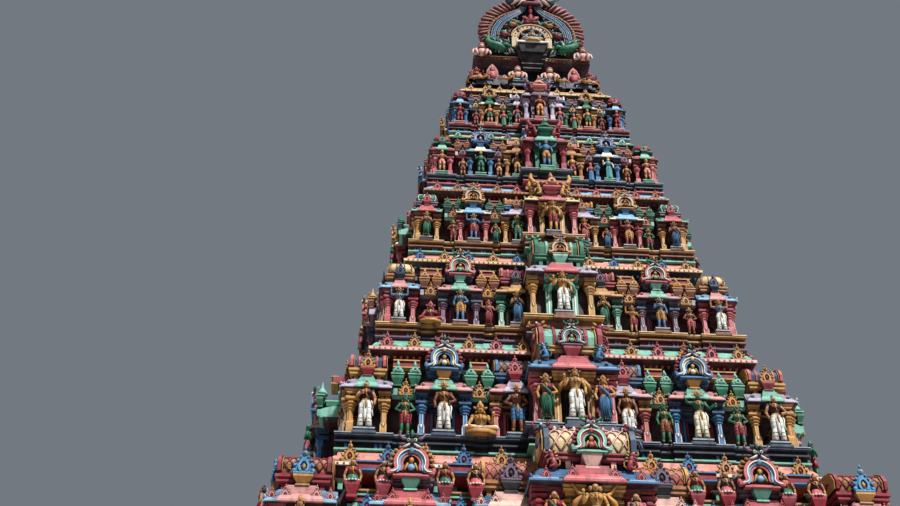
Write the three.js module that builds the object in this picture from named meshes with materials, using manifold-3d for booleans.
// A seven storey gopuram, the gate tower of a South Indian temple: a granite gate storey with a
// passage through it, six storeys of painted brick and stucco that step in as they rise, each ringed
// with pavilions and their roofs, and a barrel vault with horseshoe gables and seven finials.
// Millimetres, +Z up. The origin is the middle of the footprint at ground level. The narrow end faces
// look along -Y and +Y, and the passage runs along X, from one long side to the other.
import * as THREE from "three";
import { mergeVertices } from "three/addons/utils/BufferGeometryUtils.js";
import Module from "manifold-3d";

const wasm = await Module();
wasm.setup();

// Driving dimensions. "half" is the distance from the tower's centre to the eaves of a storey's
// corner pavilions on the long sides, and the narrow ends lie END_EXTRA further out. The other bays
// of a long side stand "step" further out than the corner pavilions.
const END_EXTRA = 4000;
const FIRST_SILL = 10450;
const STOREYS = [
  { rise: 4000, half: 7690, step: 450 },
  { rise: 3960, half: 6190, step: 900 },
  { rise: 3640, half: 5330, step: 500 },
  { rise: 3190, half: 4480, step: 550 },
  { rise: 3000, half: 3940, step: 250 },
  { rise: 2800, half: 3210, step: 200 },
];
const NECK_HALF = 2700;
const JOINT_GAP = 0.3;
const OVERLAP = 10;

// Gate storey, in granite. "out" is how far a moulding stands in front of the plinth's neck.
const GATE = {
  neckHalf: 8940,
  wallHalf: 8450,
  plinthTop: 1900,
  wallTop: 8900,
  lintelBottom: 7300,
  passageHalf: 2300,
  portalDepth: 900,
  portalJamb: 450,
  pilasterWide: 520,
  pilasterOut: 140,
  bayHalf: 2100,
  bayOut: 650,
};
const PLINTH_MOULDINGS = [
  { out: 260, from: 0, to: 420 },
  { out: 160, from: 420, to: 900 },
  { out: 200, from: 1420, to: 1900 },
];
const END_PILASTERS = [0.36, 0.62, 0.94];
const SIDE_PILASTERS = [3400, 5900, 8400, 11000];
const CORNICE = { from: 250, to: 620, out: 700 };

// Shares of a storey's height, measured up from its sill.
const UP = {
  eave: 0.3,
  eaveTop: 0.385,
  roofFoot: 0.46,
  roofTop: 0.65,
  gableTop: 0.6,
  wallTop: 0.74,
  ledge: 0.76,
  ledgeTop: 0.8,
  centreEave: 0.4,
  centreEaveTop: 0.5,
  centreRoofFoot: 0.62,
  centreRoofTop: 0.9,
};

// Shares of a storey's half width, measured out from the tower's centre.
const OUT = {
  rear: 0.78,
  neckWall: 0.8,
  wall: 0.87,
  roof: 0.965,
  column: 0.982,
  plinth: 0.985,
  eave: 1,
  ledge: 1.035,
  centreWall: 0.98,
  centreRoof: 1.09,
  centrePlinth: 1.108,
  centreEave: 1.12,
};
const COLUMN_SHARE = 0.034;
const WALL_SHARE = 0.08;
const WALL_LEAST = 240;

// Bays of a narrow end, as shares of the storey's half width.
const CORNER = 0.78;
const END_BAYS = [
  { from: 0.43, to: 0.68, roof: "gable" },
  { from: 0.205, to: 0.365, roof: "barrel" },
];
const END_CENTRE = 0.2;

// Bays of a long side, as shares of a module that fills the side between its corner pavilions.
const SIDE_MODULES = 1.32;
const SIDE_BAYS = [
  { from: 0.92, to: 1.16, roof: "gable" },
  { from: 0.55, to: 0.8, roof: "gable" },
  { from: 0.29, to: 0.48, roof: "barrel" },
];
const SIDE_CENTRE = 0.28;
const SIDE_STEP_REACH = 1.2;
const DOOR_HALF = 0.075;
const DOOR_TOP = 0.35;

// Vault and finials.
const VAULT = {
  neckHalf: 1900,
  neckRise: 1520,
  benchOut: 620,
  benchRise: 390,
  ledgeHalf: 2270,
  ledgeRise: 280,
  footHalf: 1620,
  bulgeHalf: 1840,
  bulgeUp: 1250,
  top: 3050,
  thick: 420,
  gableThick: 320,
  gableHalf: 2160,
  gableTop: 3300,
  crestTop: 4350,
};
const RIDGE = { half: 130, rise: 160, short: 200 };
const FINIALS = 7;
const FINIAL = { spacing: 1560, height: 1950, radius: 240, sides: 8 };
const BARREL_STEPS = 2;
const VAULT_STEPS = 5;

const MATERIALS = {
  granite: new THREE.MeshStandardMaterial({ color: "#8d7f6c", roughness: 0.9 }),
  wall: new THREE.MeshStandardMaterial({ color: "#7d3138", roughness: 0.75 }),
  ledge: new THREE.MeshStandardMaterial({ color: "#c98f7c", roughness: 0.7 }),
  vault: new THREE.MeshStandardMaterial({ color: "#8a4348", roughness: 0.75 }),
  gable: new THREE.MeshStandardMaterial({ color: "#a5555a", roughness: 0.7 }),
  finial: new THREE.MeshStandardMaterial({ color: "#b98a4a", roughness: 0.4, metalness: 0.9 }),
};

const whole = Math.round;

// Solids and meshes.
function toSolid(geometry) {
  geometry.deleteAttribute("normal");
  geometry.deleteAttribute("uv");
  const merged = mergeVertices(geometry, 1e-3);
  return new wasm.Manifold(
    new wasm.Mesh({
      numProp: 3,
      vertProperties: merged.attributes.position.array,
      triVerts: new Uint32Array(merged.index.array),
    }),
  );
}

function toMesh(name, solid, material) {
  const made = solid.getMesh();
  const geometry = new THREE.BufferGeometry();
  geometry.setAttribute("position", new THREE.BufferAttribute(made.vertProperties, 3));
  geometry.setIndex(new THREE.BufferAttribute(made.triVerts, 1));
  const mesh = new THREE.Mesh(geometry, material);
  mesh.name = name;
  return mesh;
}

function join(solids) {
  return solids.reduce((all, next) => all.add(next));
}

// A face is built looking along +Y at the near end: u runs to the right along it and "out" is the
// distance in front of the tower's centre line, so a point (u, out) lies at x = u, y = -out.
function block(u0, u1, out0, out1, z0, z1) {
  const geometry = new THREE.BoxGeometry(u1 - u0, out1 - out0, z1 - z0);
  geometry.translate((u0 + u1) / 2, -(out0 + out1) / 2, (z0 + z1) / 2);
  return toSolid(geometry);
}

// A prism of an outline in the (out, z) plane, running along u.
function alongFace(shape, u0, u1) {
  const geometry = new THREE.ExtrudeGeometry(shape, {
    depth: u1 - u0,
    bevelEnabled: false,
    curveSegments: BARREL_STEPS,
  });
  const basis = new THREE.Matrix4().makeBasis(
    new THREE.Vector3(0, -1, 0),
    new THREE.Vector3(0, 0, 1),
    new THREE.Vector3(-1, 0, 0),
  );
  geometry.applyMatrix4(basis);
  geometry.translate(u1, 0, 0);
  return toSolid(geometry);
}

// A plate of an outline in the (u, z) plane, from out0 to out1.
function facePlate(shape, out0, out1) {
  const geometry = new THREE.ExtrudeGeometry(shape, {
    depth: out1 - out0,
    bevelEnabled: false,
    curveSegments: VAULT_STEPS,
  });
  geometry.rotateX(Math.PI / 2);
  geometry.translate(0, -out0, 0);
  return toSolid(geometry);
}

function outline(points) {
  const shape = new THREE.Shape();
  shape.moveTo(...points[0]);
  for (const point of points.slice(1)) shape.lineTo(...point);
  return shape;
}

// Sizes of each storey, worked out once. "module" spaces the bays of a long side.
const tiers = [];
let sill = FIRST_SILL;
for (const [index, { rise, half, step }] of STOREYS.entries()) {
  const { half: nextHalf, step: nextStep } = STOREYS[index + 1] ?? { half: NECK_HALF, step: 0 };
  tiers.push({
    number: index + 1,
    sill,
    rise,
    half,
    step,
    nextHalf,
    nextStep,
    ledgeHalf: whole(OUT.ledge * nextHalf),
    inside: whole((OUT.neckWall - WALL_SHARE) * half) - WALL_LEAST,
    module: (CORNER * half + END_EXTRA) / SIDE_MODULES,
  });
  sill += rise;
}
const NECK_FLOOR = sill;

function up(tier, share) {
  return tier.sill + whole(share * tier.rise);
}

function out(tier, share) {
  return whole(share * tier.half);
}

function stepReach(tier) {
  return whole(SIDE_STEP_REACH * tier.module);
}

// A bay's eave and roof in one section: the eave's lip, the roof's foot, and a half round barrel or
// the flat back of a gable.
function bayRoof(tier, u0, u1, kind, step = 0) {
  const rear = out(tier, OUT.rear);
  const eave = out(tier, OUT.eave) + step;
  const roofFront = out(tier, OUT.roof) + step;
  const foot = kind === "barrel" ? up(tier, UP.roofFoot) : up(tier, UP.gableTop);
  const shape = outline([
    [rear, up(tier, UP.eave)],
    [eave, up(tier, UP.eave)],
    [eave, whole((up(tier, UP.eave) + up(tier, UP.eaveTop)) / 2)],
    [roofFront, up(tier, UP.eaveTop)],
    [roofFront, foot],
  ]);
  if (kind === "barrel") {
    const middle = (rear + roofFront) / 2;
    shape.absellipse(middle, foot, roofFront - middle, up(tier, UP.roofTop) - foot, 0, Math.PI, false, 0);
  } else {
    shape.lineTo(rear, foot);
  }
  return alongFace(shape, u0, u1);
}

// The tall middle bay, whose barrel roof stands in front of the next storey's sill.
function centreBay(tier, halfWidth, step = 0, nextStep = 0) {
  const { nextHalf, ledgeHalf } = tier;
  const rear = out(tier, OUT.rear);
  const wall = out(tier, OUT.centreWall) + step;
  const eave = out(tier, OUT.centreEave) + step;
  const roofFront = out(tier, OUT.centreRoof) + step;
  const foot = up(tier, UP.centreRoofFoot);
  const behind = Math.max(whole(OUT.centreEave * nextHalf), ledgeHalf) + OVERLAP + nextStep;
  const middle = (behind + roofFront) / 2;
  const shape = outline([
    [rear, tier.sill],
    [wall, tier.sill],
    [wall, up(tier, UP.centreEave)],
    [eave, up(tier, UP.centreEave)],
    [eave, up(tier, UP.centreEaveTop)],
    [roofFront, up(tier, UP.centreEaveTop)],
    [roofFront, foot],
  ]);
  shape.absellipse(middle, foot, roofFront - middle, up(tier, UP.centreRoofTop) - foot, 0, Math.PI, false, 0);
  shape.lineTo(rear, foot);
  return alongFace(shape, -halfWidth, halfWidth);
}

// A square corner pavilion: the eave and a small barrel roof over a free column at the corner.
function cornerPavilion(tier, side) {
  const column = out(tier, COLUMN_SHARE);
  const columnOut = out(tier, OUT.column);
  const inner = out(tier, CORNER);
  const outer = out(tier, OUT.eave);
  const [c0, c1] = side > 0 ? [columnOut - column, columnOut] : [-columnOut, column - columnOut];
  const [u0, u1] = side > 0 ? [inner, outer] : [-outer, -inner];
  const top = up(tier, UP.eave) + OVERLAP;
  return [block(c0, c1, columnOut - column, columnOut, tier.sill, top), bayRoof(tier, u0, u1, "barrel")];
}

// Both the lower wall behind the columns and the recessed neck above the roofs.
function wallSection(tier, reach) {
  const { inside, sill: foot } = tier;
  const wall = out(tier, OUT.wall);
  const neck = out(tier, OUT.neckWall);
  const section = outline([
    [inside, foot],
    [wall, foot],
    [wall, up(tier, UP.eaveTop)],
    [neck, up(tier, UP.eaveTop)],
    [neck, up(tier, UP.wallTop)],
    [inside, up(tier, UP.wallTop)],
  ]);
  return alongFace(section, -reach, reach);
}

function bays(tier, list, unit, step = 0) {
  const made = [];
  for (const { from, to, roof } of list)
    for (const side of [1, -1]) {
      const [u0, u1] = [side * from * unit, side * to * unit].map(whole).sort((a, b) => a - b);
      made.push(bayRoof(tier, u0, u1, roof, step));
    }
  return made;
}

function endWall(tier) {
  return join([
    wallSection(tier, out(tier, OUT.neckWall)),
    block(
      -out(tier, OUT.wall), out(tier, OUT.wall), tier.inside, out(tier, OUT.wall),
      tier.sill, up(tier, UP.eaveTop),
    ),
    ...cornerPavilion(tier, 1),
    ...cornerPavilion(tier, -1),
    centreBay(tier, out(tier, END_CENTRE)),
    ...bays(tier, END_BAYS, tier.half),
  ]);
}

function sideWall(tier) {
  const { step, nextStep } = tier;
  const reach = stepReach(tier);
  const solid = join([
    wallSection(tier, tier.inside + END_EXTRA - JOINT_GAP),
    block(-reach, reach, tier.inside, out(tier, OUT.wall) + step, tier.sill, up(tier, UP.eaveTop)),
    centreBay(tier, whole(SIDE_CENTRE * tier.module), step, nextStep),
    ...bays(tier, SIDE_BAYS, tier.module, step),
  ]);
  const door = whole(DOOR_HALF * tier.module);
  const doorway = block(-door, door, tier.inside - OVERLAP, 2 * tier.half, tier.sill - OVERLAP, up(tier, DOOR_TOP));
  return solid.subtract(doorway);
}

// The floor over a storey: a frieze, the projecting ledge, and the moulded plinth of the next one,
// which steps out on the long sides and has a tongue on each side under the middle bay.
function platform({ bottom, ledge, ledgeTop, top, friezeHalf, ledgeHalf, plinthHalf, tier }) {
  const slab = (half, z0, z1) => block(-half, half, -(half + END_EXTRA), half + END_EXTRA, z0, z1);
  const parts = [
    slab(friezeHalf, bottom, ledge),
    slab(ledgeHalf, ledge, ledgeTop),
    slab(plinthHalf, ledgeTop, top),
  ];
  if (tier) {
    const across = (half, reach, z0, z1) => block(-half, half, -reach, reach, z0, z1);
    const tongue = out(tier, OUT.centrePlinth);
    parts.push(
      across(ledgeHalf + tier.step, stepReach(tier), ledge, ledgeTop),
      across(plinthHalf + tier.step, stepReach(tier), ledgeTop, top),
      across(out(tier, END_CENTRE), tongue + END_EXTRA, ledgeTop, top),
      across(tongue + tier.step, whole(SIDE_CENTRE * tier.module), ledgeTop, top),
    );
  }
  return join(parts);
}

// Gate storey: the plinth or the wall on one side of the passage.
function gatePlinth() {
  const { neckHalf, passageHalf, plinthTop } = GATE;
  const parts = [block(-neckHalf, neckHalf, passageHalf, neckHalf + END_EXTRA, 0, plinthTop)];
  for (const { out: step, from, to } of PLINTH_MOULDINGS) {
    const half = neckHalf + step;
    parts.push(block(-half, half, passageHalf, half + END_EXTRA, from, to));
  }
  return join(parts);
}

function gateWall() {
  const { wallHalf, passageHalf, plinthTop, wallTop, pilasterWide, pilasterOut, bayHalf, bayOut } = GATE;
  const end = wallHalf + END_EXTRA;
  const upright = (u0, u1, out0, out1) => block(u0, u1, out0, out1, plinthTop, wallTop);
  const parts = [
    upright(-wallHalf, wallHalf, passageHalf, end),
    upright(-bayHalf, bayHalf, end - OVERLAP, end + bayOut),
  ];
  for (const side of [1, -1]) {
    for (const share of END_PILASTERS) {
      const u = whole(side * share * wallHalf - pilasterWide / 2);
      parts.push(upright(u, u + pilasterWide, end - OVERLAP, end + pilasterOut));
    }
    const edge = side > 0 ? wallHalf - OVERLAP : -wallHalf - pilasterOut;
    for (const from of SIDE_PILASTERS)
      parts.push(upright(edge, edge + pilasterOut + OVERLAP, from, from + pilasterWide));
  }
  return join(parts);
}

// Stone door frame that lines the passage mouth: two jambs and a lintel.
function portal() {
  const { passageHalf, portalDepth, portalJamb, wallHalf, lintelBottom } = GATE;
  const reach = passageHalf - JOINT_GAP;
  const inner = passageHalf - portalJamb;
  const top = lintelBottom - JOINT_GAP;
  const frame = block(-reach, reach, wallHalf - portalDepth, wallHalf, 0, top);
  return frame.subtract(block(-inner, inner, 0, 2 * wallHalf, -OVERLAP, lintelBottom - portalJamb));
}

// Vault, seen from the end: foot, bulging sides and a pointed crown.
function vaultShape(grow) {
  const { footHalf, bulgeHalf, bulgeUp, top } = VAULT;
  const foot = footHalf + grow;
  const bulge = bulgeHalf + grow;
  const crown = top + grow;
  const shape = outline([[-foot, 0], [foot, 0]]);
  shape.quadraticCurveTo(bulge * 1.06, bulgeUp * 0.5, bulge, bulgeUp);
  shape.quadraticCurveTo(bulge * 0.84, crown * 0.84, 0, crown);
  shape.quadraticCurveTo(-bulge * 0.84, crown * 0.84, -bulge, bulgeUp);
  shape.quadraticCurveTo(-bulge * 1.06, bulgeUp * 0.5, -foot, 0);
  return shape;
}

function vault(reach) {
  const skin = facePlate(vaultShape(0), -reach, reach);
  const hollow = facePlate(vaultShape(-VAULT.thick), -reach - OVERLAP, reach + OVERLAP);
  return skin.subtract(hollow.translate([0, 0, -OVERLAP]));
}

function gable() {
  const { gableHalf, gableTop, crestTop, gableThick, ledgeHalf } = VAULT;
  const foot = gableHalf * 0.86;
  const shape = outline([[-foot, 0], [foot, 0]]);
  shape.quadraticCurveTo(gableHalf * 1.08, gableTop * 0.32, gableHalf, gableTop * 0.58);
  shape.quadraticCurveTo(gableHalf * 0.86, gableTop * 0.86, gableHalf * 0.36, gableTop);
  shape.lineTo(gableHalf * 0.3, crestTop * 0.94);
  shape.lineTo(0, crestTop);
  shape.lineTo(-gableHalf * 0.3, crestTop * 0.94);
  shape.lineTo(-gableHalf * 0.36, gableTop);
  shape.quadraticCurveTo(-gableHalf * 0.86, gableTop * 0.86, -gableHalf, gableTop * 0.58);
  shape.quadraticCurveTo(-gableHalf * 1.08, gableTop * 0.32, -foot, 0);
  return facePlate(shape, ledgeHalf - gableThick, ledgeHalf);
}

// A finial pot turned on its axis: foot, belly, neck, lid and spike.
function finial() {
  const { radius: r, height: h, sides } = FINIAL;
  const profile = [
    [0, 0], [r * 0.8, 0], [r * 0.35, h * 0.12], [r, h * 0.32],
    [r * 0.3, h * 0.52], [r * 0.6, h * 0.62], [r * 0.2, h * 0.74], [0, h],
  ].map(([x, y]) => new THREE.Vector2(x, y));
  const geometry = new THREE.LatheGeometry(profile, sides);
  geometry.rotateX(Math.PI / 2);
  return toSolid(geometry);
}

// Assembly. Each face of the tower is a group turned to look its own way.
const gopuram = new THREE.Group();
gopuram.name = "gopuram";

function turned(turn, y = 0) {
  const group = new THREE.Group();
  group.rotation.z = turn;
  group.position.y = y;
  gopuram.add(group);
  return group;
}
const faces = {
  near: turned(0, -END_EXTRA),
  far: turned(Math.PI, END_EXTRA),
  right: turned(Math.PI / 2),
  left: turned(-Math.PI / 2),
};

for (const [name, turn] of [["near", 0], ["far", Math.PI]]) {
  const group = turned(turn);
  group.add(toMesh(`gate_plinth_${name}`, gatePlinth(), MATERIALS.granite));
  group.add(toMesh(`gate_wall_${name}`, gateWall(), MATERIALS.granite));
}
for (const name of ["right", "left"])
  faces[name].add(toMesh(`portal_${name}`, portal(), MATERIALS.granite));
const ceilingHalf = GATE.passageHalf - JOINT_GAP;
gopuram.add(
  toMesh(
    "passage_ceiling",
    block(-GATE.wallHalf, GATE.wallHalf, -ceilingHalf, ceilingHalf, GATE.lintelBottom, GATE.wallTop),
    MATERIALS.granite,
  ),
);
gopuram.add(
  toMesh(
    "floor_1",
    platform({
      bottom: GATE.wallTop,
      ledge: GATE.wallTop + CORNICE.from,
      ledgeTop: GATE.wallTop + CORNICE.to,
      top: FIRST_SILL,
      friezeHalf: GATE.wallHalf,
      ledgeHalf: GATE.wallHalf + CORNICE.out,
      plinthHalf: out(tiers[0], OUT.plinth),
      tier: tiers[0],
    }),
    MATERIALS.ledge,
  ),
);

for (const [index, tier] of tiers.entries()) {
  for (const name of ["near", "far"])
    faces[name].add(toMesh(`storey_${tier.number}_${name}_end`, endWall(tier), MATERIALS.wall));
  for (const name of ["right", "left"])
    faces[name].add(toMesh(`storey_${tier.number}_${name}_side`, sideWall(tier), MATERIALS.wall));
  const above = tiers[index + 1];
  gopuram.add(
    toMesh(
      `floor_${tier.number + 1}`,
      platform({
        bottom: up(tier, UP.wallTop),
        ledge: up(tier, UP.ledge),
        ledgeTop: up(tier, UP.ledgeTop),
        top: tier.sill + tier.rise,
        friezeHalf: out(tier, OUT.neckWall),
        ledgeHalf: tier.ledgeHalf,
        plinthHalf: whole(OUT.plinth * tier.nextHalf),
        tier: above,
      }),
      MATERIALS.ledge,
    ),
  );
}

const slab = (half, z0, z1) => block(-half, half, -half - END_EXTRA, half + END_EXTRA, z0, z1);
const neckTop = NECK_FLOOR + VAULT.neckRise;
const vaultFoot = neckTop + VAULT.ledgeRise;
const bench = slab(VAULT.neckHalf + VAULT.benchOut, NECK_FLOOR, NECK_FLOOR + VAULT.benchRise);
const neck = slab(VAULT.neckHalf, NECK_FLOOR, neckTop).add(bench);
gopuram.add(toMesh("neck", neck, MATERIALS.wall));
gopuram.add(toMesh("vault_ledge", slab(VAULT.ledgeHalf, neckTop, vaultFoot), MATERIALS.ledge));

const vaultReach = VAULT.ledgeHalf + END_EXTRA - VAULT.gableThick - JOINT_GAP;
const vaultSkin = toMesh("vault", vault(vaultReach), MATERIALS.vault);
vaultSkin.position.z = vaultFoot;
gopuram.add(vaultSkin);
for (const name of ["near", "far"]) {
  const plate = toMesh(`gable_${name}`, gable(), MATERIALS.gable);
  plate.position.z = vaultFoot;
  faces[name].add(plate);
}

const ridgeBottom = vaultFoot + VAULT.top + JOINT_GAP;
const ridgeTop = vaultFoot + VAULT.top + RIDGE.rise;
const ridgeReach = vaultReach - RIDGE.short;
gopuram.add(
  toMesh("ridge", block(-RIDGE.half, RIDGE.half, -ridgeReach, ridgeReach, ridgeBottom, ridgeTop), MATERIALS.vault),
);
for (let i = 0; i < FINIALS; i++) {
  const pot = toMesh(`finial_${i + 1}`, finial(), MATERIALS.finial);
  pot.position.set(0, (i - (FINIALS - 1) / 2) * FINIAL.spacing, ridgeTop);
  gopuram.add(pot);
}

export default gopuram;
